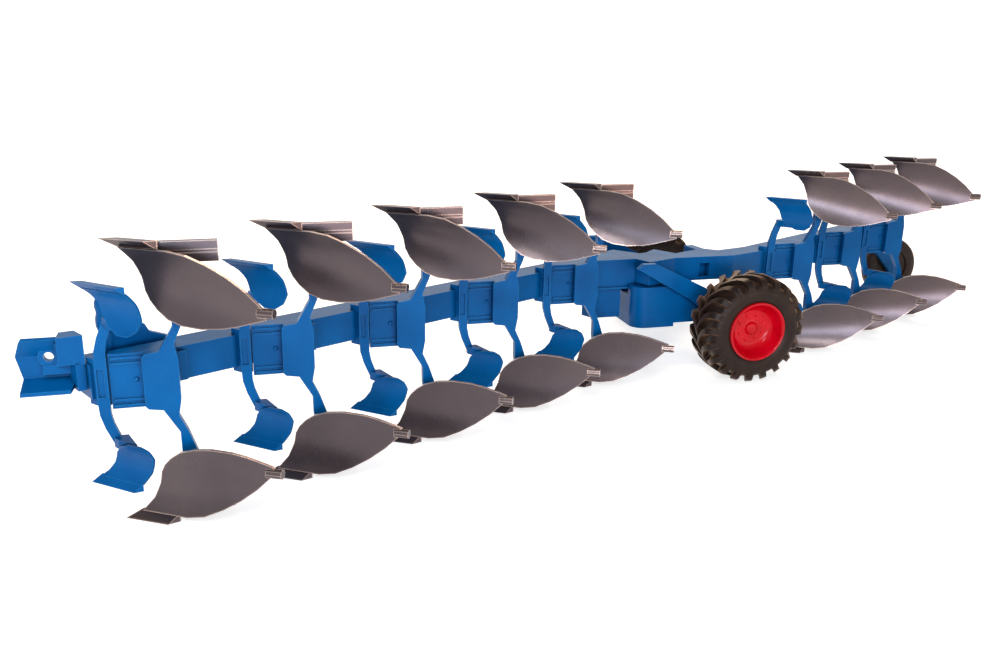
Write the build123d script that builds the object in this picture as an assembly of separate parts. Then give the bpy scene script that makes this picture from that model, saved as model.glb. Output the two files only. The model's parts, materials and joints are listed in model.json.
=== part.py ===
from build123d import *
import math
import os

# A 1:16 toy of an eight-furrow semi-mounted reversible plough.
#
# Millimetres. While modelling, +X runs to the rear along travel, +Y to the plough's right and
# +Z up. z = 0 is the mid-plane of the beam, and (0, 0) is above the first share point. At the
# end the whole is shifted so that the floor is z = 0 and the middle of its box is the origin.
# Two sets of plan coordinates are used: (x, y) along and across travel, and (along, across)
# for what follows the slanting beam, with `across` growing to the right.

# ---- overall sizes ----
FLOOR_DROP = 65.75            # beam mid-plane above the floor
BODY_PITCH_X = 62.5           # spacing of the bodies along travel
BODY_PITCH_Y = 31.25          # cut of one body, sideways
FRONT_BODIES = 5
REAR_BODIES = 3
REAR_GROUP_X = 428.0          # sixth body, along travel; it cuts just beside the fifth
REAR_GROUP_Y = FRONT_BODIES * BODY_PITCH_Y

# ---- beam ----
BEAM_HALF = 8.2               # half of the square section
BEAM_OFF = 16.0               # beam axis behind the line of share points
FRONT_BEAM_START = -6.5       # along the beam
FRONT_BEAM_END = 328.0
MID_START = 353.0             # front of the connecting section
REAR_BEAM_START = 446.0
REAR_BEAM_TAIL = 32.0         # rear beam past the last share point

# ---- turning parts and plays ----
SHAFT_RADIUS = 5.0
RUNNING_FIT = 0.05            # play around a shaft or pin
FACE_GAP = 0.3                # end play between turning and still parts

# ---- mouldboard, share and landside ----
BOARD_ANGLE = 28.4            # board against travel, in plan
BOARD_THICK = 1.5
# Axis of the cone that the hollow face follows, as (along, up, throw) of the board.
HOLLOW_START = (-10.5, 51.9, 11.8)
HOLLOW_DIRECTION = (1.0, -0.191, 0.379)
HOLLOW_RADIUS = 19.3          # at the start of its axis
HOLLOW_GROWTH = 0.346         # per millimetre of axis
HOLLOW_LENGTH = 95.0
SHARE_BACK = 61.4             # height of the share's back edge from the mid-plane
LANDSIDE_THICK = 3.2
LANDSIDE_START = 18.5
LANDSIDE_END = 49.0
LANDSIDE_LOW = 54.4
LANDSIDE_HIGH = 63.8

# ---- leg ----
LEG_NEAR = -1.2
LEG_THICK = 4.0
CONSOLE_NEAR = 3.0
CONSOLE_HALF = 12.9
SHANK_END = 54.0

# ---- skimmer ----
SKIMMER_ANGLE = 40.5
SKIMMER_TIP = 47.0
SKIMMER_THICK = 1.2
SKIMMER_HOLLOW = 13.8         # radius of its hollow face
ARM_NEAR = 1.5
ARM_THICK = 2.4

# ---- carriage wheels ----
AXLE_X = 380.0
LEFT_WHEEL_Y = 109.9
RIGHT_WHEEL_Y = 262.1
WHEEL_RADIUS = 35.8
TYRE_HALF = 15.6
TREAD_HALF = 10.0
RIM_RADIUS = 19.6
AXLE_RADIUS = 2.5

# ---- support wheel ----
SUPPORT_X = 621.7
SUPPORT_Y = 280.6
SUPPORT_RADIUS = 25.5
SUPPORT_HALF = 5.0
SUPPORT_PIN_RADIUS = 2.0

BEAM_ANGLE = math.degrees(math.atan2(BODY_PITCH_Y, BODY_PITCH_X))
COS_B = math.cos(math.radians(BEAM_ANGLE))
SIN_B = math.sin(math.radians(BEAM_ANGLE))


# ---------------------------------------------------------------- frames and simple forms

def beam_point(along, across, z=0.0):
    """Travel-frame point of a place along the beam and to the right of the share line."""
    return (along * COS_B - across * SIN_B, along * SIN_B + across * COS_B, z)


def beam_place(x, y):
    """(along, across) of a travel-frame plan point."""
    return (x * COS_B + y * SIN_B, -x * SIN_B + y * COS_B)


def plan_block(points, z0, z1):
    """Upright prism over a plan outline in travel coordinates."""
    outline = Polyline(*[(x, y, z0) for x, y in points], close=True)
    return extrude(make_face(outline), amount=z1 - z0, dir=(0, 0, 1))


def beam_block(points, z0, z1):
    """Upright prism over a plan outline in (along, across)."""
    return plan_block([beam_point(s, a)[:2] for s, a in points], z0, z1)


def beam_box(s0, s1, a0, a1, z0, z1):
    """Box square to the beam."""
    return beam_block([(s0, a0), (s1, a0), (s1, a1), (s0, a1)], z0, z1)


def both_halves(half):
    """Whole side outline from its upper half, which starts and ends short of the mid-plane."""
    return half + [(x, -z) for x, z in reversed(half)]


def side_plate(points, y0, y1):
    """Plate in line with travel, from its side outline (x, z)."""
    outline = Polyline(*[(x, y0, z) for x, z in points], close=True)
    return extrude(make_face(outline), amount=y1 - y0, dir=(0, 1, 0))


def beam_side_plate(points, a0, a1):
    """Plate in line with the beam, from its side outline (along, z)."""
    plane = Plane(origin=beam_point(0.0, a0), x_dir=(COS_B, SIN_B, 0), z_dir=(SIN_B, -COS_B, 0))
    return extrude(plane * make_face(Polyline(*points, close=True)), amount=-(a1 - a0))


def beam_rod(s0, s1, radius, across, z=0.0):
    """Round bar along the beam."""
    plane = Plane(origin=beam_point(s0, across, z), x_dir=(0, 0, 1), z_dir=(COS_B, SIN_B, 0))
    return extrude(plane * Circle(radius), amount=s1 - s0)


def cross_rod(x, z, y0, y1, radius):
    """Round bar square to travel."""
    plane = Plane(origin=(x, y0, z), x_dir=(1, 0, 0), z_dir=(0, 1, 0))
    return extrude(plane * Circle(radius), amount=y1 - y0)


def post(x, y, z0, z1, radius):
    """Upright round bar."""
    return Pos(x, y, z0) * extrude(Circle(radius), amount=z1 - z0)


def wedge(front, rear):
    """Solid between two three-cornered ends."""
    ends = [make_face(Polyline(*corners, close=True)) for corners in (front, rear)]
    return loft(ends, ruled=True)


def board_plane(angle):
    """Upright plane of a blade: local x back along it, local y up, local z towards its throw."""
    turn = math.radians(angle)
    along = (math.cos(turn), -math.sin(turn), 0)
    throw = (-math.sin(turn), -math.cos(turn), 0)
    return Plane(origin=(0, 0, 0), x_dir=along, z_dir=throw)


def cone_sheet(board, start, direction, radius, growth, thick, length):
    """Sheet bent to a cone: `start` and `direction` of its axis are in the board's coordinates.

    `radius` is that of the hollow face at the start, `growth` what each millimetre adds to it."""
    axis = Plane(
        origin=board.from_local_coords(Vector(*start)),
        z_dir=board.from_local_coords(Vector(*direction)) - board.origin)
    slant = math.hypot(1.0, growth)
    end = radius + growth * length
    ends = (Align.CENTER, Align.CENTER, Align.MIN)
    if growth:
        outside = Cone(radius + thick * slant, end + thick * slant, length, align=ends)
        hollow = Cone(radius, end, length, align=ends)
    else:
        outside = Cylinder(radius + thick, length, align=ends)
        hollow = Cylinder(radius, length, align=ends)
    return axis * (outside - hollow)


# ---------------------------------------------------------------- mouldboards

def upper_body():
    """Mouldboard, share, landside and wing stub of an upper body, in one moulding."""
    board = board_plane(BOARD_ANGLE)
    outline = Polyline(
        (17.0, 42.8), (19.4, 38.7), (23.1, 34.9), (28.5, 31.1), (35.0, 28.9), (44.0, 28.0),
        (54.0, 28.8), (61.0, 30.3), (73.5, 34.0), (71.5, 39.0), (64.8, 45.6), (57.0, 51.6),
        (48.6, 56.6), (39.7, 60.5), (31.0, 61.9), (7.8, 61.9), (12.9, 55.7), (15.8, 48.6), close=True)
    prism = board * Pos(0, 0, -16) * extrude(make_face(outline), amount=30)
    # The hollow widens and turns over towards the wing like the inside of a cone.
    blade = prism & cone_sheet(
        board, HOLLOW_START, HOLLOW_DIRECTION, HOLLOW_RADIUS, HOLLOW_GROWTH, BOARD_THICK, HOLLOW_LENGTH)

    # The share is a wedge: its cutting edge is outermost, its back edge is under the board.
    tip = (0.0, 0.0, FLOOR_DROP)
    heel = (18.9, -11.6, FLOOR_DROP)
    top_front = (8.3, 0.0, SHARE_BACK)
    top_rear = (24.6, -9.6, SHARE_BACK)
    back_front = (8.3, 0.0, FLOOR_DROP)
    back_rear = (24.6, -9.6, FLOOR_DROP)
    share = wedge([tip, top_front, back_front], [heel, top_rear, back_rear])

    landside = side_plate(
        [(LANDSIDE_START, LANDSIDE_HIGH), (LANDSIDE_START + 5.0, LANDSIDE_LOW),
         (LANDSIDE_END, LANDSIDE_LOW), (LANDSIDE_END, LANDSIDE_HIGH)], -LANDSIDE_THICK, 0.0)
    groove = Pos(LANDSIDE_START + 8.0, -LANDSIDE_THICK, (LANDSIDE_LOW + LANDSIDE_HIGH) / 2) * Box(
        LANDSIDE_END, 1.2, 1.4, align=(Align.MIN, Align.CENTER, Align.CENTER))
    landside = landside - groove

    # Block behind the board that takes the leg.
    frog = plan_block(
        [(23.0, -4.6), (38.0, -13.3), (38.0, LEG_NEAR), (23.0, LEG_NEAR)], 38.5, LANDSIDE_LOW + 1.0)
    stub = board * Pos(69.5, 36.9, -5.2) * Rot(0, 90, 0) * extrude(RegularPolygon(2.3, 8), amount=7.5)
    return blade + share + landside + frog + stub


# ---------------------------------------------------------------- legs

def beam_face_y(x):
    """Travel y of the beam's near face at a travel x, beside the share point."""
    return (BEAM_OFF - BEAM_HALF + x * SIN_B) / COS_B


def leg():
    """Console against the beam, plate and the two shanks, in one moulding."""
    half = [
        (13.2, 11.5), (14.4, 12.9), (20.7, 13.9), (27.1, 25.0), (27.2, 34.5), (28.3, 42.0),
        (28.6, SHANK_END), (37.4, SHANK_END), (36.6, 42.0), (34.0, 34.8), (30.7, 24.8),
        (27.2, 17.0), (28.6, 9.5),
    ]
    plate = side_plate(both_halves(half), LEG_NEAR, LEG_NEAR + LEG_THICK)
    back = LEG_NEAR + LEG_THICK
    console = plan_block(
        [(-1.0, CONSOLE_NEAR), (13.2, CONSOLE_NEAR), (13.2, back), (27.0, back),
         (27.0, beam_face_y(27.0)), (-1.0, beam_face_y(-1.0))],
        -CONSOLE_HALF, CONSOLE_HALF)
    # Pairs of pressed ribs run across the console near its top and bottom.
    for z in (-11.3, -8.7, 8.5, 11.0):
        rib = plan_block([(0.0, CONSOLE_NEAR - 0.7), (13.2, CONSOLE_NEAR - 0.7),
                          (13.2, CONSOLE_NEAR + 0.5), (0.0, CONSOLE_NEAR + 0.5)], z - 0.5, z + 0.5)
        console = console + rib
    # Clamp behind the plate, flat on the beam.
    clamp_start = beam_place(27.0, back)[0] - 2.0
    clamp = beam_box(clamp_start, clamp_start + 14.0, BEAM_OFF - BEAM_HALF - 3.0,
                     BEAM_OFF - BEAM_HALF, -7.6, 6.6)
    return plate + console + clamp


# ---------------------------------------------------------------- skimmers

def skimmer():
    """Arm with its clamp and the two small blades, in one moulding."""
    half = [
        (-6.9, 8.5), (-6.5, 15.0), (-4.8, 21.2), (-1.8, 28.5), (2.4, 28.5),
        (-0.8, 19.5), (-1.7, 14.6), (-1.7, 8.0),
    ]
    arm = side_plate(both_halves(half), ARM_NEAR, ARM_NEAR + ARM_THICK)
    slot = Pos(-6.2, ARM_NEAR, 0.0) * Box(3.0, 1.4, 13.2, align=(Align.MIN, Align.CENTER, Align.CENTER))
    arm = arm - slot
    back = ARM_NEAR + ARM_THICK
    # Its clamp reaches over the edges of the beam.
    clamp = plan_block([(-10.5, 7.4), (-6.9, back - 0.4), (-1.2, back - 0.4),
                        (-1.2, 11.0), (-10.5, 8.8)], -11.0, 11.0)
    clamp = clamp - beam_box(-40.0, 60.0, BEAM_OFF - BEAM_HALF, BEAM_OFF + BEAM_HALF, -BEAM_HALF, BEAM_HALF)
    arm = arm + clamp

    board = board_plane(SKIMMER_ANGLE)
    outline = Polyline(
        (0.2, 32.0), (4.0, 28.0), (11.0, 25.4), (17.0, 25.4), (20.2, 27.6), (21.6, 32.0), (19.6, 39.0),
        (16.5, 44.0), (-7.9, 44.0), (-4.6, 41.2), (-1.8, 37.4), close=True)
    prism = board * Pos(0, 0, -8) * extrude(make_face(outline), amount=24)
    blade = prism & cone_sheet(
        board, (-12.0, 35.0, 14.8), (1.0, 0.0, 0.0), SKIMMER_HOLLOW, 0.0, SKIMMER_THICK, 36.0)

    def on_blade(place, throw, z):
        return tuple(board.from_local_coords(Vector(place, z, throw)))

    share = wedge(
        [on_blade(-11.5, 6.8, SKIMMER_TIP), on_blade(-7.9, 3.4, 43.2), on_blade(-7.9, 3.4, SKIMMER_TIP)],
        [on_blade(14.0, 6.8, SKIMMER_TIP), on_blade(16.5, 3.4, 43.2), on_blade(16.5, 3.4, SKIMMER_TIP)])
    lug = plan_block([(-1.6, back), (-1.6, 1.2), (0.6, -2.3), (9.0, -9.4), (4.4, back)], 26.0, 30.5)
    top = blade + share + lug
    return arm + top + mirror(top, about=Plane.XY)


# ---------------------------------------------------------------- wheels

def tyre(y, radius, tread_half, side_half, bore):
    """Tyre as a turned section on a cross axis."""
    shoulder = radius * 0.9
    section = Polyline(
        (bore, -side_half), (shoulder, -side_half), (radius, -tread_half),
        (radius, tread_half), (shoulder, side_half), (bore, side_half), close=True)
    return Pos(0, y, 0) * revolve(make_face(section), axis=Axis.Y)


def rim(y, radius, lip, bore, outward):
    """Dished wheel centre; the dish is open to the outside and its lip stands past the tyre."""
    section = Polyline(*[(r, out * outward) for r, out in (
        (bore, 5.0), (bore + 4.0, 5.0), (bore + 4.0, 1.5), (radius * 0.72, 1.5), (radius - 1.4, lip),
        (radius, lip), (radius, -lip + 3.0), (radius - 2.0, -lip + 3.0), (radius - 2.0, -1.5),
        (bore, -1.5))], close=True)
    return Pos(0, y, 0) * revolve(make_face(section), axis=Axis.Y)


parts = {}

NEAR_FACE = BEAM_OFF - BEAM_HALF
FAR_FACE = BEAM_OFF + BEAM_HALF

# ---------------------------------------------------------------- turning frame
front_beam = beam_box(FRONT_BEAM_START, FRONT_BEAM_END, NEAR_FACE, FAR_FACE, -BEAM_HALF, BEAM_HALF)
HEAD_START = FRONT_BEAM_START - 4.3
HEAD_SHAFT_RADIUS = 3.0
front_beam = front_beam + beam_rod(HEAD_START, FRONT_BEAM_START + 1, HEAD_SHAFT_RADIUS, BEAM_OFF)
# Bracket standing on the front of the beam, with a round knob at its leading edge.
tower = beam_side_plate(
    [(6.0, BEAM_HALF - 1), (6.0, 29.0), (15.0, 29.0), (17.5, 27.0), (19.0, 21.5), (22.5, 20.5),
     (24.5, 16.5), (34.0, 12.5), (34.0, BEAM_HALF - 1)],
    BEAM_OFF - 2.0, BEAM_OFF + 2.0)
knob_section = Polyline(
    (0.0, 7.0), (2.4, 7.0), (2.4, 24.0), (3.6, 25.5), (3.6, 33.0), (2.2, 35.0), (0.0, 35.0), close=True)
knob = Pos(*beam_point(6.5, BEAM_OFF)) * revolve(Plane.XZ * make_face(knob_section), axis=Axis.Z)
parts["front_beam"] = front_beam + tower + knob

# Middle section: from the turning shaft out to the line of the rear beam.
rear_reference = beam_place(REAR_GROUP_X, REAR_GROUP_Y)
REAR_NEAR = rear_reference[1] + NEAR_FACE
REAR_FAR = rear_reference[1] + FAR_FACE
MID_OUTLINE = [
    (MID_START, -17.2), (376.5, -19.4), (416.0, -39.6), (REAR_BEAM_START, REAR_NEAR),
    (REAR_BEAM_START, REAR_FAR), (421.7, -22.5), (418.0, -13.0), (421.8, -0.4), (415.6, 2.3),
    (411.0, -11.5), (389.0, -10.5), (387.0, 7.3), (374.0, 4.0), (368.5, 5.0), (363.5, 21.5),
    (363.5, FAR_FACE), (MID_START, FAR_FACE),
]
middle = beam_block(MID_OUTLINE, -BEAM_HALF, BEAM_HALF)
window = Pos(368.0, 150.5, -1.2) * Box(8.0, 12.0, 9.6)
SHAFT_END = 360.0
middle = middle - window - beam_rod(MID_START - 1, SHAFT_END, SHAFT_RADIUS, BEAM_OFF)
parts["middle_section"] = middle

rear_end = rear_reference[0] + (REAR_BODIES - 1) * math.hypot(BODY_PITCH_X, BODY_PITCH_Y) + REAR_BEAM_TAIL
parts["rear_beam"] = beam_box(REAR_BEAM_START, rear_end, REAR_NEAR, REAR_FAR, -BEAM_HALF, BEAM_HALF)
parts["turning_shaft"] = beam_rod(FRONT_BEAM_END, SHAFT_END, SHAFT_RADIUS, BEAM_OFF)

places = [(BODY_PITCH_X * i, BODY_PITCH_Y * i) for i in range(FRONT_BODIES)]
places += [(REAR_GROUP_X + BODY_PITCH_X * i, REAR_GROUP_Y + BODY_PITCH_Y * i) for i in range(REAR_BODIES)]

one_leg, one_skimmer, one_body = leg(), skimmer(), upper_body()
low_body = mirror(one_body, about=Plane.XY)
for number, (x, y) in enumerate(places, start=1):
    parts[f"leg_{number}"] = Pos(x, y, 0) * one_leg
    parts[f"skimmer_{number}"] = Pos(x, y, 0) * one_skimmer
    parts[f"upper_mouldboard_{number}"] = Pos(x, y, 0) * one_body
    parts[f"lower_mouldboard_{number}"] = Pos(x, y, 0) * low_body

# ---------------------------------------------------------------- bearing head
# Housing around the turning shaft, the box under it and the tongue that reaches back to the
# swivel post of the carriage.
HOUSING_START = FRONT_BEAM_END + FACE_GAP
HOUSING_END = MID_START - FACE_GAP
HOUSING_LOW = -10.6
BOX_LOW = -32.5
TONGUE_LOW, TONGUE_HIGH = -16.0, -12.4
PIVOT = beam_point(383.9, BEAM_OFF)
POST_RADIUS = 5.0


def housing_near(along, inset=0.0):
    """`across` of the housing's near side, which runs in line with travel."""
    start = (FRONT_BEAM_END, NEAR_FACE)
    return start[1] - (along - start[0]) * math.tan(math.radians(BEAM_ANGLE)) + inset


housing = beam_block(
    [(HOUSING_START, housing_near(HOUSING_START)), (HOUSING_END, housing_near(HOUSING_END)),
     (HOUSING_END, FAR_FACE), (HOUSING_START, FAR_FACE)], HOUSING_LOW, BEAM_HALF)
ledge = beam_block(
    [(HOUSING_START, housing_near(HOUSING_START, -1.6)), (HOUSING_END, housing_near(HOUSING_END, -1.6)),
     (HOUSING_END, FAR_FACE), (HOUSING_START, FAR_FACE)], HOUSING_LOW - 1.2, HOUSING_LOW)
BOX_END = 346.0
low_box = beam_block(
    [(HOUSING_START, housing_near(HOUSING_START, 2.5)), (BOX_END, housing_near(BOX_END, 2.5)),
     (BOX_END, FAR_FACE - 4.0), (HOUSING_START, FAR_FACE - 4.0)], BOX_LOW, HOUSING_LOW - 1.0)
head = housing + ledge + low_box
head = head - beam_rod(HOUSING_START - 1, HOUSING_END + 1, SHAFT_RADIUS + RUNNING_FIT, BEAM_OFF)
tongue = beam_box(BOX_END - 1.0, 383.9, BEAM_OFF - 7.0, BEAM_OFF + 7.0, TONGUE_LOW, TONGUE_HIGH)
tongue = tongue + post(PIVOT[0], PIVOT[1], TONGUE_LOW, TONGUE_HIGH, 7.0)
head = head + tongue + post(PIVOT[0], PIVOT[1], -31.0, TONGUE_LOW + 1, POST_RADIUS)
parts["bearing_head"] = head

# ---------------------------------------------------------------- wheel carriage
AXLE_Z = -FLOOR_DROP + WHEEL_RADIUS
MIDDLE_Y = (LEFT_WHEEL_Y + RIGHT_WHEEL_Y) / 2
SKIRT_HALF = 45.8              # middle of the carriage to the outside of its skirts
SKIRT_FRONT, SKIRT_REAR = 313.0, 342.3
SKIRT_LOW, SKIRT_HIGH = -37.1, -9.0
DECK_HIGH = TONGUE_LOW - FACE_GAP
SKIRT_ROUND = 9.0
ARM_WIDTH = 4.0
# Only the front corners of the skirt are round.
skirt_plan = (
    Pos((SKIRT_FRONT + SKIRT_REAR) / 2, MIDDLE_Y)
    * RectangleRounded(SKIRT_REAR - SKIRT_FRONT, 2 * SKIRT_HALF, SKIRT_ROUND)
    + Pos(SKIRT_REAR - SKIRT_ROUND / 2, MIDDLE_Y) * Rectangle(SKIRT_ROUND, 2 * SKIRT_HALF))
carriage = Pos(0, 0, SKIRT_LOW) * extrude(skirt_plan, amount=SKIRT_HIGH - SKIRT_LOW)
carriage = carriage - Pos((SKIRT_FRONT + SKIRT_REAR) / 2, MIDDLE_Y, DECK_HIGH) * Box(
    60.0, 2 * SKIRT_HALF - 24.0, 20.0, align=(Align.CENTER, Align.CENTER, Align.MIN))
# Its sides run on to the axle.
CHEEK_OUTLINE = [
    (SKIRT_REAR - 4.0, SKIRT_HIGH), (360.0, SKIRT_HIGH), (386.0, -22.5), (388.0, -30.0),
    (385.0, -34.5), (SKIRT_REAR - 4.0, -34.5),
]
for y0 in (MIDDLE_Y - SKIRT_HALF, MIDDLE_Y + SKIRT_HALF - ARM_WIDTH):
    carriage = carriage + side_plate(CHEEK_OUTLINE, y0, y0 + ARM_WIDTH)
cross = Pos(AXLE_X, MIDDLE_Y, AXLE_Z) * Box(12.0, 2 * SKIRT_HALF - 2.0, 9.0)
spine = Pos((SKIRT_REAR + AXLE_X) / 2 - 1, MIDDLE_Y, AXLE_Z) * Box(AXLE_X - SKIRT_REAR + 4, 30.0, 9.0)
carriage = carriage + cross + spine
carriage = carriage - post(PIVOT[0], PIVOT[1], -31.0 - FACE_GAP, 0.0, POST_RADIUS + RUNNING_FIT)
carriage = carriage - cross_rod(AXLE_X, AXLE_Z, 80.0, 300.0, AXLE_RADIUS)
parts["carriage_frame"] = carriage

# A bar on each side runs down from above the deck to the axle.
ARM_OUTLINE = [
    (312.3, 5.1), (316.0, 8.2), (325.0, 8.2), (363.0, -10.3), (384.0, -22.0), (388.0, -30.0),
    (384.0, -37.0), (376.0, -37.0), (351.9, -17.7),
]
for side, inner in (("left", MIDDLE_Y - SKIRT_HALF), ("right", MIDDLE_Y + SKIRT_HALF + ARM_WIDTH)):
    arm_plate = side_plate(ARM_OUTLINE, inner - ARM_WIDTH, inner)
    arm_plate = arm_plate - cross_rod(AXLE_X, AXLE_Z, 80.0, 300.0, AXLE_RADIUS)
    parts[f"{side}_side_plate"] = arm_plate

parts["axle"] = cross_rod(AXLE_X, AXLE_Z, LEFT_WHEEL_Y - 7.0, RIGHT_WHEEL_Y + 7.0, AXLE_RADIUS)

for side, y, outward in (("left", LEFT_WHEEL_Y, -1), ("right", RIGHT_WHEEL_Y, 1)):
    parts[f"{side}_tyre"] = Pos(AXLE_X, 0, AXLE_Z) * tyre(y, WHEEL_RADIUS, TREAD_HALF, TYRE_HALF, RIM_RADIUS)
    parts[f"{side}_rim"] = Pos(AXLE_X, 0, AXLE_Z) * rim(
        y, RIM_RADIUS, TYRE_HALF + 0.5, AXLE_RADIUS + RUNNING_FIT, outward)

# ---------------------------------------------------------------- headstock
# A pressed channel in line with travel, bearing on the front shaft behind it. Its section is
# given as (y, z) and its ends as (x, z); the lower flange ends in a slant.
HEAD_END = FRONT_BEAM_START - FACE_GAP
CHANNEL_SECTION = [
    (9.0, 19.4), (14.0, 10.8), (14.0, 0.6), (5.0, -3.2), (5.0, -5.0), (15.8, -0.8), (15.8, 11.2),
    (10.8, 20.2),
]
CHANNEL_ENDS = [
    (-38.7, -5.5), (-38.0, 0.4), (-40.4, 11.0), (-37.6, 18.4), (-36.4, 20.5), (0.0, 20.5), (0.0, -5.5),
]
LIP_SLANT = [(-18.2, 4.0), (-15.9, 11.0), (-12.1, 14.0), (0.0, 14.0), (0.0, 4.0)]
channel = extrude(
    make_face(Polyline(*[(-42.0, y, z) for y, z in CHANNEL_SECTION], close=True)),
    amount=42.0, dir=(1, 0, 0))
channel = channel & side_plate(CHANNEL_ENDS, 0.0, 20.0)
channel = channel - plan_block(LIP_SLANT, -6.0, 0.6)
raised_box = side_plate([(-22.0, 8.0), (-22.0, 20.6), (-6.0, 21.9), (-6.0, 8.0)], 6.5, 16.0)
stop_bar = side_plate([(-23.2, 7.0), (-23.2, 17.5), (-20.3, 17.5), (-20.3, 7.0)], 9.0, 15.5)
rib = side_plate([(-29.5, 2.4), (-29.2, 6.8), (-6.0, 6.4), (-6.0, 2.6)], 12.0, 14.5)
HITCH_X, HITCH_Z, HITCH_RADIUS = -26.5, 10.6, 2.2
HITCH_NEAR, HITCH_FAR = 12.4, 16.2
hitch_boss = cross_rod(HITCH_X, HITCH_Z, HITCH_NEAR, HITCH_FAR, 4.6)
bearing_boss = beam_box(HEAD_START, HEAD_END, BEAM_OFF - 4.8, BEAM_OFF + 4.8, -4.2, BEAM_HALF)
headstock = channel + raised_box + stop_bar + rib + hitch_boss
headstock = headstock - beam_box(HEAD_END, 60.0, -60.0, 60.0, -60.0, 60.0)
headstock = headstock + bearing_boss
headstock = headstock - beam_rod(
    HEAD_START - 0.1, FRONT_BEAM_START, HEAD_SHAFT_RADIUS + RUNNING_FIT, BEAM_OFF)
parts["headstock"] = headstock - cross_rod(HITCH_X, HITCH_Z, 0.0, 25.0, HITCH_RADIUS)

# ---------------------------------------------------------------- support wheel at the rear
# A trailing arm on a cross pin behind the tail of the beam. When the plough turns over, the arm
# falls from one stop to the other and its wheel is below the beam again.
SUPPORT_Z = -FLOOR_DROP + SUPPORT_RADIUS
TAIL_PIN_X = 584.0
TAIL_PIN_RADIUS = 3.0
TAIL_LUG_NEAR, TAIL_LUG_FAR = 243.5, 251.5
COLLAR_RADIUS = 6.0
ARM_FAR = SUPPORT_Y - SUPPORT_HALF - FACE_GAP
SUPPORT_ARM_THICK = 4.0
SUPPORT_SWING = 2 * math.degrees(math.atan2(-SUPPORT_Z, SUPPORT_X - TAIL_PIN_X))

tail_lug = plan_block(
    [(566.0, TAIL_LUG_NEAR), (TAIL_PIN_X + COLLAR_RADIUS, TAIL_LUG_NEAR),
     (TAIL_PIN_X + COLLAR_RADIUS, TAIL_LUG_FAR), (566.0, TAIL_LUG_FAR)], -COLLAR_RADIUS, COLLAR_RADIUS)
tail_lug = tail_lug - cross_rod(TAIL_PIN_X, 0.0, TAIL_LUG_NEAR - 1, TAIL_LUG_FAR + 1, TAIL_PIN_RADIUS)
parts["rear_beam"] = parts["rear_beam"] + tail_lug
parts["support_pin"] = cross_rod(TAIL_PIN_X, 0.0, TAIL_LUG_NEAR - 1.0, ARM_FAR, TAIL_PIN_RADIUS)

collar = cross_rod(TAIL_PIN_X, 0.0, TAIL_LUG_FAR + FACE_GAP, ARM_FAR, COLLAR_RADIUS)
hub = cross_rod(SUPPORT_X, SUPPORT_Z, ARM_FAR - SUPPORT_ARM_THICK, ARM_FAR, COLLAR_RADIUS)
reach_x, reach_z = SUPPORT_X - TAIL_PIN_X, SUPPORT_Z
reach = math.hypot(reach_x, reach_z)
side_x, side_z = -reach_z / reach * 5.0, reach_x / reach * 5.0
bar = side_plate(
    [(TAIL_PIN_X + side_x, side_z), (SUPPORT_X + side_x, SUPPORT_Z + side_z),
     (SUPPORT_X - side_x, SUPPORT_Z - side_z), (TAIL_PIN_X - side_x, -side_z)],
    ARM_FAR - SUPPORT_ARM_THICK, ARM_FAR)
stub_axle = cross_rod(
    SUPPORT_X, SUPPORT_Z, ARM_FAR - 2.0, SUPPORT_Y + SUPPORT_HALF + 1.0, SUPPORT_PIN_RADIUS)
support_arm = collar + hub + bar + stub_axle
parts["support_arm"] = support_arm - cross_rod(
    TAIL_PIN_X, 0.0, TAIL_LUG_FAR, ARM_FAR + 1.0, TAIL_PIN_RADIUS + RUNNING_FIT)
parts["support_tyre"] = (
    cross_rod(SUPPORT_X, SUPPORT_Z, SUPPORT_Y - SUPPORT_HALF, SUPPORT_Y + SUPPORT_HALF, SUPPORT_RADIUS)
    - cross_rod(SUPPORT_X, SUPPORT_Z, SUPPORT_Y - 20.0, SUPPORT_Y + 20.0, SUPPORT_PIN_RADIUS + RUNNING_FIT))

# ---------------------------------------------------------------- shift to the shared frame and write
whole = Compound(list(parts.values())).bounding_box()
SHIFT = (-(whole.min.X + whole.max.X) / 2, -(whole.min.Y + whole.max.Y) / 2, FLOOR_DROP)
print("shift", SHIFT, "box", whole.min, whole.max)
os.makedirs("parts", exist_ok=True)
for name, shape in parts.items():
    export_step(Pos(*SHIFT) * shape, f"parts/{name}.step")
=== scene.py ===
"""Looks of a toy semi-mounted reversible plough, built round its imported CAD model.

Lengths are in metres where nothing else is said. +X is to the rear, +Y to the right and +Z up."""
import json
import math

import bmesh
import bpy
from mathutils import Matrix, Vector


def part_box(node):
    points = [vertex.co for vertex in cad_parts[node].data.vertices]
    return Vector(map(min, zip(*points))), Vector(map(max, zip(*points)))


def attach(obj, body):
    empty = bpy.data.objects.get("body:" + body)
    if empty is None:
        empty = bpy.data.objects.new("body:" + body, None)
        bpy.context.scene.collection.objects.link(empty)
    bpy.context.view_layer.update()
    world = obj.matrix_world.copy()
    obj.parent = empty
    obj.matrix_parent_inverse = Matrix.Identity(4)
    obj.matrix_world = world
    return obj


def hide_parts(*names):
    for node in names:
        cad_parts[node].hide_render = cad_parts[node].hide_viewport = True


MM = 0.001                     # metres in a millimetre
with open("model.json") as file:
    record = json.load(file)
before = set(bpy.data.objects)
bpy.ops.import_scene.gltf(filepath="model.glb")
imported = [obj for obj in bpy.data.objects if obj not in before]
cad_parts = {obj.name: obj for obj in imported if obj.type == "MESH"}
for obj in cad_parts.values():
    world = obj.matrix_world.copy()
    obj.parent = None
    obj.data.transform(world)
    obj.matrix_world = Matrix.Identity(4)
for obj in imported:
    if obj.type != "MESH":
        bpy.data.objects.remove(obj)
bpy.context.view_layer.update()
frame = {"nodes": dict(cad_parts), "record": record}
nodes = frame["nodes"]

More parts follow.
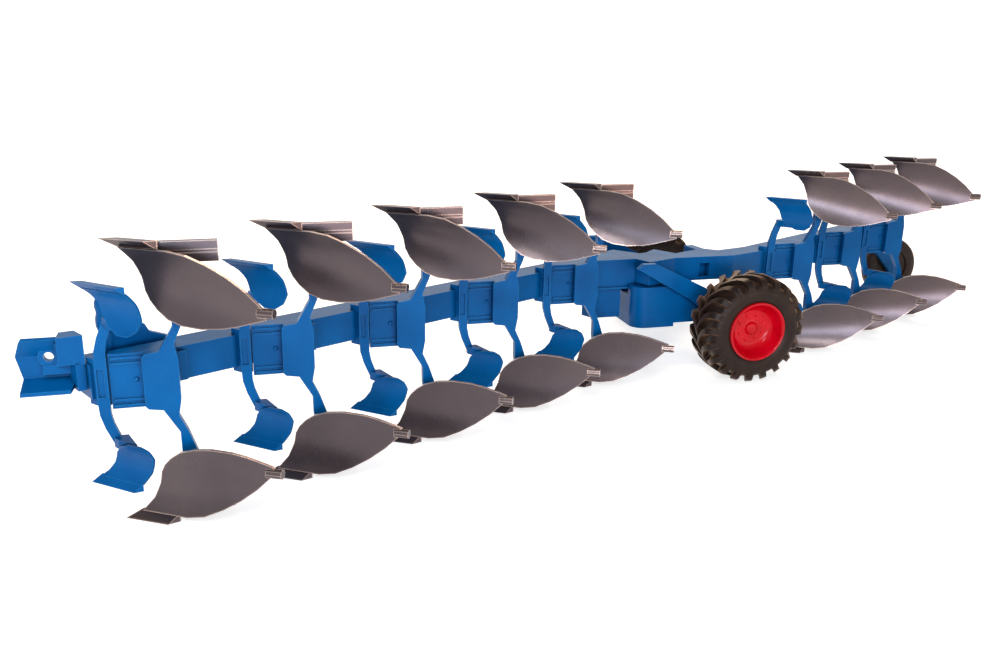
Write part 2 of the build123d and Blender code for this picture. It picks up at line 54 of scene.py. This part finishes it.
# ---------------------------------------------------------------- materials
NOISE_SPAN = (0.3, 0.7)        # most of a noise lies between these
NOISE_ROUGHNESS = 0.55
EDGE_COSINES = (0.995, 0.90)   # between the face's normal and the rounded one: no edge, full edge
OPEN_SKY = (0.85, 0.35)        # share of sky that a point sees: no painted shade, full painted shade


def linear(red, green, blue):
    """Scene colour of an 8-bit display colour."""
    def one(value):
        value = value / 255.0
        return value / 12.92 if value <= 0.04045 else ((value + 0.055) / 1.055) ** 2.4
    return (one(red), one(green), one(blue), 1.0)


class Shader:
    """A node material with a Principled surface and short calls for its nodes."""

    def __init__(self, name):
        self.material = bpy.data.materials.new(name)
        self.material.use_nodes = True
        self.tree = self.material.node_tree
        self.surface = self.tree.nodes["Principled BSDF"]
        self.place = self.add("ShaderNodeTexCoord").outputs["Object"]

    def add(self, kind, **values):
        node = self.tree.nodes.new(kind)
        for key, value in values.items():
            setattr(node, key, value)
        return node

    def link(self, source, target):
        self.tree.links.new(source, target)

    def set(self, **values):
        for key, value in values.items():
            self.surface.inputs[key.replace("_", " ")].default_value = value

    def noise(self, scale, detail, stretch=None):
        node = self.add("ShaderNodeTexNoise")
        node.inputs["Scale"].default_value = scale
        node.inputs["Detail"].default_value = detail
        node.inputs["Roughness"].default_value = NOISE_ROUGHNESS
        source = self.place
        if stretch:
            mapping = self.add("ShaderNodeMapping")
            mapping.inputs["Scale"].default_value = stretch
            self.link(source, mapping.inputs["Vector"])
            source = mapping.outputs["Vector"]
        self.link(source, node.inputs["Vector"])
        return node.outputs["Fac"]

    def ramp(self, factor, stops):
        """Colour ramp; each stop is (place, colour)."""
        node = self.add("ShaderNodeValToRGB")
        elements = node.color_ramp.elements
        while len(elements) < len(stops):
            elements.new(0.5)
        for element, (place, colour) in zip(elements, stops):
            element.position = place
            element.color = colour
        self.link(factor, node.inputs["Fac"])
        return node.outputs["Color"]

    def between(self, factor, low, high, to_low=0.0, to_high=1.0):
        """Value carried from one range to another, and held at its ends."""
        node = self.add("ShaderNodeMapRange")
        for key, value in (("From Min", low), ("From Max", high), ("To Min", to_low), ("To Max", to_high)):
            node.inputs[key].default_value = value
        self.link(factor, node.inputs["Value"])
        return node.outputs["Result"]

    def mix(self, factor, first, second):
        node = self.add("ShaderNodeMix", data_type="RGBA")
        self.link(factor, node.inputs["Factor"])
        for value, name in ((first, "A"), (second, "B")):
            socket = [s for s in node.inputs if s.name == name and s.type == "RGBA"][0]
            if isinstance(value, bpy.types.NodeSocket):
                self.link(value, socket)
            else:
                socket.default_value = value
        return [s for s in node.outputs if s.type == "RGBA"][0]

    def colour(self, source):
        self.link(source, self.surface.inputs["Base Color"])

    def roughness(self, noise, smoothest, roughest):
        """Roughness that wanders between two values with a noise."""
        value = self.between(noise, *NOISE_SPAN, smoothest, roughest)
        self.link(value, self.surface.inputs["Roughness"])

    def bump(self, height, strength, distance):
        node = self.add("ShaderNodeBump")
        node.inputs["Strength"].default_value = strength
        node.inputs["Distance"].default_value = distance
        self.link(height, node.inputs["Height"])
        self.link(node.outputs["Normal"], self.surface.inputs["Normal"])

    def edges(self, radius):
        """1 along sharp edges and 0 on flat faces."""
        bevel = self.add("ShaderNodeBevel", samples=4)
        bevel.inputs["Radius"].default_value = radius
        geometry = self.add("ShaderNodeNewGeometry")
        dot = self.add("ShaderNodeVectorMath", operation="DOT_PRODUCT")
        self.link(bevel.outputs["Normal"], dot.inputs[0])
        self.link(geometry.outputs["Normal"], dot.inputs[1])
        return self.between(dot.outputs["Value"], *EDGE_COSINES)

    def corners(self, reach):
        """1 in inside corners and narrow gaps, where painted shade darkens the colour, and 0 on open faces.
        """
        open_sky = self.add("ShaderNodeAmbientOcclusion", samples=6)
        open_sky.inputs["Distance"].default_value = reach
        return self.between(open_sky.outputs["AO"], *OPEN_SKY)


def blue_plastic():
    """Blue moulding: a little cloudy, with paler edges that are partly rubbed wear and partly a painted
    highlight, and painted shade darkening the corners.
    """
    shader = Shader("blue_plastic")
    body = shader.ramp(shader.noise(38.0, 4.0), [
        (0.30, linear(0, 84, 146)), (0.52, linear(0, 93, 158)), (0.75, linear(2, 101, 168))])
    # Paler edges: partly rubbed wear, partly a painted highlight along the edges.
    rubbed_and_highlit_edges = shader.mix(shader.edges(0.5 * MM), body, linear(34, 124, 190))
    # Painted shade: inside corners and narrow gaps darken towards dark blue.
    shader.colour(shader.mix(shader.corners(4.0 * MM), rubbed_and_highlit_edges, linear(0, 48, 88)))
    shader.roughness(shader.noise(60.0, 3.0), 0.26, 0.38)
    shader.bump(shader.noise(900.0, 2.0), 0.2, 0.05 * MM)
    shader.set(IOR=1.45, Specular_IOR_Level=0.14)
    return shader.material


def grey_plastic():
    """Metallic grey moulding: warm grey with a painted highlight as a light rim along its edges, and a satin
    shine.
    """
    shader = Shader("grey_plastic")
    body = shader.ramp(shader.noise(26.0, 4.0), [
        (0.28, linear(82, 73, 76)), (0.5, linear(89, 79, 82)), (0.74, linear(96, 85, 86))])
    # Painted highlight: a pale pinkish rim along every edge.
    shader.colour(shader.mix(shader.edges(0.8 * MM), body, linear(192, 170, 160)))
    shader.roughness(shader.noise(45.0, 3.0), 0.25, 0.32)
    shader.bump(shader.noise(1500.0, 2.0), 0.03, 0.03 * MM)
    shader.set(Metallic=0.75, IOR=1.5)
    return shader.material


def red_plastic():
    """Glossy red moulding with paler edges."""
    shader = Shader("red_plastic")
    body = shader.ramp(shader.noise(70.0, 3.0), [
        (0.3, linear(186, 0, 20)), (0.55, linear(202, 2, 28)), (0.75, linear(212, 8, 34))])
    shader.colour(shader.mix(shader.edges(0.5 * MM), body, linear(222, 50, 58)))
    shader.roughness(shader.noise(90.0, 2.0), 0.10, 0.18)
    shader.bump(shader.noise(800.0, 2.0), 0.2, 0.05 * MM)
    shader.set(IOR=1.45, Specular_IOR_Level=0.25)
    return shader.material


def tyre_rubber():
    """Dusty black-brown rubber: mottled, with paler edges that are a painted highlight on the lug tops and
    partly dust, and a brown sheen at a low angle.
    """
    shader = Shader("tyre_rubber")
    body = shader.ramp(shader.noise(85.0, 5.0), [
        (0.3, linear(26, 19, 17)), (0.55, linear(36, 26, 22)), (0.8, linear(54, 38, 30))])
    # Paler brown edges: a painted highlight on the lug tops, partly dust.
    shader.colour(shader.mix(shader.edges(0.9 * MM), body, linear(62, 45, 36)))
    shader.roughness(shader.noise(120.0, 3.0), 0.34, 0.46)
    shader.bump(shader.noise(1200.0, 3.0), 0.4, 0.08 * MM)
    shader.set(IOR=1.4, Specular_IOR_Level=0.25, Sheen_Weight=0.6, Sheen_Roughness=0.35,
               Sheen_Tint=(0.75, 0.42, 0.24, 1.0))
    return shader.material


def bright_steel():
    """Drawn steel: its roughness lies in streaks along y, the way of the axle and the support pin."""
    shader = Shader("bright_steel")
    shader.colour(shader.ramp(shader.noise(150.0, 3.0), [
        (0.3, linear(150, 150, 154)), (0.7, linear(190, 190, 192))]))
    shader.roughness(shader.noise(500.0, 2.0, stretch=(1, 0.05, 1)), 0.22, 0.4)
    shader.set(Metallic=1.0)
    return shader.material


MATERIALS = {
    "blue_plastic": blue_plastic(),
    "grey_plastic": grey_plastic(),
    "red_plastic": red_plastic(),
    "tyre": tyre_rubber(),
    "steel": bright_steel(),
}


def paint(obj, slot):
    obj.data.materials.clear()
    obj.data.materials.append(MATERIALS[slot])


for row in frame["record"]["subparts"]:
    paint(nodes[row["node"]], row["material_slot"])

# ---------------------------------------------------------------- meshes
SHARP_ANGLE = 40.0             # degrees from which an edge stays hard
AXIS = 0.01                    # radius in mm at which an outline ends on its own axis

LUGS = 20                      # tread lugs on each side of a tyre
LUG_TAPER = 0.8                # width at a lug's top over that at its foot
TYRE_BORE = 19.4               # inner radius in mm, just inside the rim's edge
TYRE_STEPS = 144

AXLE_BORE = 2.55               # radius in mm, just clear of the axle
NUTS = 8
NUT_CIRCLE = 8.6               # radius in mm
NUT_FOOT = 5.7                 # mm outward of the wheel's middle, just under the dish
NUT_SIDES = 6
RIM_STEPS = 96

PIN_BORE = 2.1                 # radius in mm, just clear of the support wheel's pin
PLOUGH_BODIES = 8
BOLT_STEPS = 20
KNOB_STEPS = 32


def new_piece(name, mesh, body, slot):
    obj = bpy.data.objects.new(name, mesh)
    bpy.context.scene.collection.objects.link(obj)
    paint(obj, slot)
    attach(obj, body)
    return obj


def about_y(radius, along, turn):
    return Vector((radius * math.cos(turn), along, radius * math.sin(turn)))


def about_z(radius, along, turn):
    return Vector((radius * math.cos(turn), radius * math.sin(turn), along))


def join_loops(bm, near, far):
    """Faces between two closed loops with the same number of vertices."""
    for i in range(len(near)):
        j = (i + 1) % len(near)
        bm.faces.new((near[i], near[j], far[j], far[i]))


def add_turned(bm, outline, centre, steps, about=about_y):
    """Closed turned surface; the outline holds (radius, distance along the axis) in mm."""
    rings = []
    for step in range(steps):
        turn = 2 * math.pi * step / steps
        rings.append([bm.verts.new(centre + about(radius, along, turn) * MM) for radius, along in outline])
    for near, far in zip(rings, rings[1:] + rings[:1]):
        join_loops(bm, near, far)


def add_lug(bm, centre, start, side, stations):
    """Tread lug from the middle of the tread round the shoulder.

    Each station is (y from the middle, turn in degrees, half width, radius at the foot,
    radius at the top), and all but the turn are in mm."""
    loops = []
    for y, turn, half, foot, top in stations:
        corners = ((foot, -half), (top, -half * LUG_TAPER), (top, half * LUG_TAPER), (foot, half))
        loop = []
        for radius, shift in corners:
            angle = math.radians(start + turn) + shift / radius
            loop.append(bm.verts.new(centre + about_y(radius, side * y, angle) * MM))
        loops.append(loop)
    for near, far in zip(loops, loops[1:]):
        join_loops(bm, near, far)
    bm.faces.new(loops[0])
    bm.faces.new(list(reversed(loops[-1])))


def finish_mesh(bm, name):
    bmesh.ops.recalc_face_normals(bm, faces=bm.faces)
    mesh = bpy.data.meshes.new(name)
    bm.to_mesh(mesh)
    bm.free()
    for face in mesh.polygons:
        face.use_smooth = True
    mesh.set_sharp_from_angle(angle=math.radians(SHARP_ANGLE))
    return mesh


def wheel_measures(low, high):
    """Centre of a wheel's box in m, and its radius and half width in mm."""
    return (low + high) / 2, (high.z - low.z) / 2 / MM, (high.y - low.y) / 2 / MM


def both_sides(outline):
    """Outline from the right side of a wheel over its top to the mirrored left side."""
    return outline + [(radius, -y) for radius, y in reversed(outline)]


def tractor_tyre(side_name):
    """Carcass with two rows of curved lugs, whose outer ends lie to the rear at the top."""
    low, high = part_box(f"{side_name}_tyre")
    centre, outer, half = wheel_measures(low, high)
    carcass = both_sides([
        (TYRE_BORE, half - 1.6), (TYRE_BORE + 1.6, half - 0.5), (TYRE_BORE + 5.0, half),
        (outer - 7.5, half - 0.1), (outer - 5.6, half - 1.4), (outer - 4.3, half - 3.8),
        (outer - 3.8, half - 8.0)])
    bm = bmesh.new()
    add_turned(bm, carcass, centre, TYRE_STEPS)
    foot = outer - 4.6
    stations = [
        (-1.2, 0.0, 1.8, foot, outer - 0.1),
        (1.0, -6.5, 2.2, foot, outer),
        (3.5, -12.5, 2.4, foot, outer),
        (6.5, -17.0, 2.4, foot, outer),
        (9.5, -19.6, 2.5, outer - 5.0, outer - 0.2),
        (12.2, -21.0, 2.6, outer - 6.0, outer - 0.9),
        (14.4, -21.6, 2.6, outer - 7.4, outer - 2.6),
        (15.4, -21.9, 2.4, outer - 9.4, outer - 5.6),
        (15.5, -22.0, 1.8, outer - 10.8, outer - 8.4),
    ]
    for index in range(LUGS):
        # the two rows stand half a lug apart
        for side, offset in ((-1, 0.0), (1, 0.5)):
            add_lug(bm, centre, 360.0 / LUGS * (index + offset), side, stations)
    piece = new_piece(f"{side_name}_tyre_tread", finish_mesh(bm, "tyre"), f"{side_name}_wheel", "tyre")
    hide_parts(f"{side_name}_tyre")


def dished_rim(side_name, outward):
    """Deep dish with a hub cap over the axle's end and a ring of nuts; the lip stands just past the tyre.

    `outward` is the way that the dish opens along y, -1 or 1."""
    low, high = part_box(f"{side_name}_rim")
    tyre_low, tyre_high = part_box(f"{side_name}_tyre")
    centre = (tyre_low + tyre_high) / 2
    radius = (high.z - low.z) / 2 / MM
    lip = (high.y - centre.y) / MM if outward > 0 else (centre.y - low.y) / MM
    hub_end = -1.5
    barrel_end = 3.0 - lip
    cap_foot = 7.2
    hub = [
        (AXLE_BORE, hub_end), (AXLE_BORE, cap_foot), (AXIS, cap_foot), (AXIS, 8.3), (3.0, 8.25),
        (3.7, 7.9), (4.1, cap_foot), (4.6, 6.5)]
    dish = [
        (6.0, 6.2), (10.6, 6.1), (12.4, 6.6), (13.8, 7.8), (15.2, 9.9), (16.5, 12.6),
        (17.4, lip - 1.6), (17.9, lip - 0.5), (18.5, lip)]
    barrel = [
        (radius - 0.5, lip), (radius, lip - 0.5), (radius, barrel_end), (radius - 2.0, barrel_end),
        (radius - 2.2, hub_end)]
    nut = [(AXIS, 0.0), (0.95, 0.0), (0.95, 1.0), (0.7, 1.5), (AXIS, 1.6)]
    bm = bmesh.new()
    add_turned(bm, [(r, outward * y) for r, y in hub + dish + barrel], centre, RIM_STEPS)
    for index in range(NUTS):
        turn = 2 * math.pi * (index + 0.5) / NUTS
        foot = centre + about_y(NUT_CIRCLE, outward * NUT_FOOT, turn) * MM
        add_turned(bm, [(r, outward * y) for r, y in nut], foot, NUT_SIDES)
    piece = new_piece(f"{side_name}_rim_dish", finish_mesh(bm, "rim"), f"{side_name}_wheel", "red_plastic")
    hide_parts(f"{side_name}_rim")


def support_tyre():
    """Narrow wheel moulded in one: hub, flat disc and plain tread."""
    low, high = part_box("support_tyre")
    centre, outer, half = wheel_measures(low, high)
    section = both_sides([
        (PIN_BORE, half - 1.0), (5.0, half - 1.0), (5.4, half - 1.8), (15.0, half - 1.8),
        (15.6, half - 0.4), (17.0, half), (outer - 2.4, half), (outer - 0.7, half - 1.2),
        (outer, half - 3.0)])
    bm = bmesh.new()
    add_turned(bm, section, centre, RIM_STEPS)
    piece = new_piece("support_wheel_moulding", finish_mesh(bm, "support"), "support_wheel", "tyre")
    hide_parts("support_tyre")


def console_bolts():
    """One round bolt head on the left face of every leg console."""
    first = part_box("leg_1")[0]
    first_bolt = Vector((-293.3, -123.26, 66.25)) * MM
    head = [(AXIS, 0.1), (1.15, 0.1), (1.15, -0.35), (0.95, -0.65), (0.5, -0.85), (AXIS, -0.9)]
    bm = bmesh.new()
    for body in range(1, PLOUGH_BODIES + 1):
        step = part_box(f"leg_{body}")[0] - first
        add_turned(bm, head, first_bolt + step, BOLT_STEPS)
    new_piece("console_bolts", finish_mesh(bm, "console_bolts"), "plough_frame", "blue_plastic")


def tower_knob():
    """Two-humped sleeve round the knob at the front of the beam's tower."""
    # where the knob's axis meets the middle plane of the beam
    foot = Vector((-305.46, -109.40, 65.75)) * MM
    sleeve = [
        (2.4, 20.0), (3.7, 20.5), (4.3, 22.6), (4.3, 25.8), (3.75, 28.2), (3.75, 29.4), (4.2, 31.4),
        (4.1, 33.4), (3.4, 35.2), (1.6, 36.1), (AXIS, 36.2), (AXIS, 20.0)]
    bm = bmesh.new()
    add_turned(bm, sleeve, foot, KNOB_STEPS, about_z)
    new_piece("tower_knob_sleeve", finish_mesh(bm, "knob"), "plough_frame", "blue_plastic")


for wheel_side, wheel_out in (("left", -1), ("right", 1)):
    tractor_tyre(wheel_side)
    dished_rim(wheel_side, wheel_out)
support_tyre()
console_bolts()
tower_knob()

# ---------------------------------------------------------------- camera, light and floor
CAMERA_PLACE = (-0.24954, -0.55348, 0.21561)
CAMERA_TURN = (73.198, -1.049, -15.874)          # degrees
CAMERA_LENS = 34.366                             # mm
SENSOR_WIDTH = 36.0                              # mm
CLIP_START = 0.01
CLIP_END = 50.0

ROOM_COLOUR = (1.0, 0.97, 0.94, 1.0)
ROOM_STRENGTH = 0.28                             # light of the room on the object
HORIZON = (0.30, (1.0, 1.0, 1.0, 1.0))           # sine of the height up to which the room is white
CEILING = (0.65, (0.42, 0.34, 0.29, 1.0))        # and from which it has the ceiling's colour

FLOOR_SIZE = 12.0
FLOOR_COLOUR = (0.85, 0.85, 0.85, 1.0)
FLOOR_FADE = (0.35, 1.3)                         # m from the middle, where the floor turns to background
FLOOR_GLOW = (0.70, 1.0)                         # its own light, as seen, at those two distances


def place_camera():
    data = bpy.data.cameras.new("camera")
    data.lens = CAMERA_LENS
    data.sensor_width = SENSOR_WIDTH
    data.clip_start = CLIP_START
    data.clip_end = CLIP_END
    camera = bpy.data.objects.new("camera", data)
    camera.location = CAMERA_PLACE
    camera.rotation_euler = [math.radians(angle) for angle in CAMERA_TURN]
    bpy.context.scene.collection.objects.link(camera)
    bpy.context.scene.camera = camera


def area_light(name, place, target, size, power, colour=(1, 1, 1)):
    """Rectangular lamp at a place, turned to a target; size in m and power in watts."""
    data = bpy.data.lights.new(name, "AREA")
    data.shape = "RECTANGLE"
    data.size, data.size_y = size
    data.energy = power
    data.color = colour
    obj = bpy.data.objects.new(name, data)
    obj.location = place
    obj.rotation_euler = (Vector(target) - Vector(place)).to_track_quat("-Z", "Y").to_euler()
    bpy.context.scene.collection.objects.link(obj)


def light_object():
    """A soft box at the left of the camera, a weak fill, a low cool box that the rear boards mirror,
    a warm glow from the ground in front and a warm light from behind on the tops."""
    area_light("key", (-0.46, -0.90, 0.64), (-0.1, 0.0, 0.05), (0.30, 0.24), 3.9)
    area_light("fill", (0.9, -1.3, 0.9), (0.1, 0.0, 0.05), (1.0, 1.0), 0.4)
    area_light("low", (-0.25, -1.20, 0.15), (0.15, 0.0, 0.06), (0.8, 0.26), 6.6, (0.66, 0.81, 1.0))
    area_light("ground", (0.25, -0.75, 0.02), (0.25, 0.0, 0.10), (0.9, 0.25), 2.3, (1.0, 0.52, 0.32))
    area_light("back", (0.25, 0.95, 1.0), (0.0, 0.0, 0.05), (0.9, 0.5), 16.0, (1.0, 0.76, 0.56))


def background_seen(tree):
    """1 for camera, glossy and transmission rays, which see the white background."""
    path = tree.nodes.new("ShaderNodeLightPath")
    seen = path.outputs["Is Camera Ray"]
    for name in ("Is Glossy Ray", "Is Transmission Ray"):
        larger = tree.nodes.new("ShaderNodeMath")
        larger.operation = "MAXIMUM"
        tree.links.new(seen, larger.inputs[0])
        tree.links.new(path.outputs[name], larger.inputs[1])
        seen = larger.outputs[0]
    return seen


def build_world():
    """White round the horizon as seen, darker overhead like a studio's ceiling; weak light on the object."""
    world = bpy.data.worlds.new("world")
    world.use_nodes = True
    bpy.context.scene.world = world
    tree = world.node_tree
    tree.nodes.clear()
    output = tree.nodes.new("ShaderNodeOutputWorld")
    mix = tree.nodes.new("ShaderNodeMixShader")
    white = tree.nodes.new("ShaderNodeBackground")
    room = tree.nodes.new("ShaderNodeBackground")
    room.inputs["Color"].default_value = ROOM_COLOUR
    room.inputs["Strength"].default_value = ROOM_STRENGTH
    coords = tree.nodes.new("ShaderNodeTexCoord")
    split = tree.nodes.new("ShaderNodeSeparateXYZ")
    ramp = tree.nodes.new("ShaderNodeValToRGB")
    for element, (place, colour) in zip(ramp.color_ramp.elements, (HORIZON, CEILING)):
        element.position = place
        element.color = colour
    tree.links.new(coords.outputs["Generated"], split.inputs[0])
    tree.links.new(split.outputs["Z"], ramp.inputs["Fac"])
    tree.links.new(ramp.outputs["Color"], white.inputs["Color"])
    tree.links.new(background_seen(tree), mix.inputs["Fac"])
    tree.links.new(room.outputs[0], mix.inputs[1])
    tree.links.new(white.outputs[0], mix.inputs[2])
    tree.links.new(mix.outputs[0], output.inputs["Surface"])


def build_floor():
    """White floor that keeps the shadow; away from the object it turns into plain background."""
    bpy.ops.mesh.primitive_plane_add(size=FLOOR_SIZE, location=(0, 0, 0))
    floor = bpy.context.object
    floor.name = "floor"
    material = bpy.data.materials.new("floor")
    material.use_nodes = True
    tree = material.node_tree
    tree.nodes.clear()
    output = tree.nodes.new("ShaderNodeOutputMaterial")
    diffuse = tree.nodes.new("ShaderNodeBsdfDiffuse")
    diffuse.inputs["Color"].default_value = FLOOR_COLOUR
    glow = tree.nodes.new("ShaderNodeEmission")
    both = tree.nodes.new("ShaderNodeAddShader")
    coords = tree.nodes.new("ShaderNodeTexCoord")
    length = tree.nodes.new("ShaderNodeVectorMath")
    length.operation = "LENGTH"
    fade = tree.nodes.new("ShaderNodeMapRange")
    fade.interpolation_type = "SMOOTHSTEP"
    for name, value in zip(("From Min", "From Max", "To Min", "To Max"), FLOOR_FADE + FLOOR_GLOW):
        fade.inputs[name].default_value = value
    seen = tree.nodes.new("ShaderNodeMath")
    seen.operation = "MULTIPLY"
    tree.links.new(coords.outputs["Object"], length.inputs[0])
    tree.links.new(length.outputs["Value"], fade.inputs["Value"])
    tree.links.new(fade.outputs["Result"], seen.inputs[0])
    tree.links.new(background_seen(tree), seen.inputs[1])
    tree.links.new(seen.outputs[0], glow.inputs["Strength"])
    tree.links.new(diffuse.outputs[0], both.inputs[0])
    tree.links.new(glow.outputs[0], both.inputs[1])
    tree.links.new(both.outputs[0], output.inputs["Surface"])
    floor.data.materials.append(material)


place_camera()
light_object()
build_world()
build_floor()

bpy.context.scene.view_settings.view_transform = "Standard"
